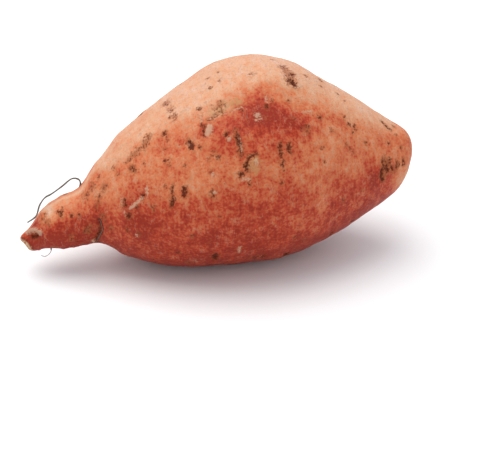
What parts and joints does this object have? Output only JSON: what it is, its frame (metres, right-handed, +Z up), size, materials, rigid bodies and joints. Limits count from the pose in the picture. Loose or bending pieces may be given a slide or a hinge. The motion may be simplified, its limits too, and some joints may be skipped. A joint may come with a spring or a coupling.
{
  "type": "sweet potato",
  "caption": "Whole raw sweet potato lying on its belly: humped copper-red storage root with a short neck, a snapped tip, a blunt crown end and dry hair roots on the neck.",
  "frame": {"origin": "on the resting surface, under the middle of the object's box", "axes": "+X along the root from the snapped tip to the crown, +Z up, -Y the side that faces the viewer"},
  "size_m": [0.1768, 0.0926, 0.0908],
  "materials": {
    "skin": "thin matte copper-red skin, mottled tan and pink, with dark corky scars and pits",
    "dry_root": "dry dark brown hair root"
  },
  "bodies": {
    "root": {"tuber": "skin", "hair_root_over_neck": "dry_root", "hair_root_under_neck": "dry_root", "hair_root_in_crease": "dry_root"}
  },
  "joints": []
}
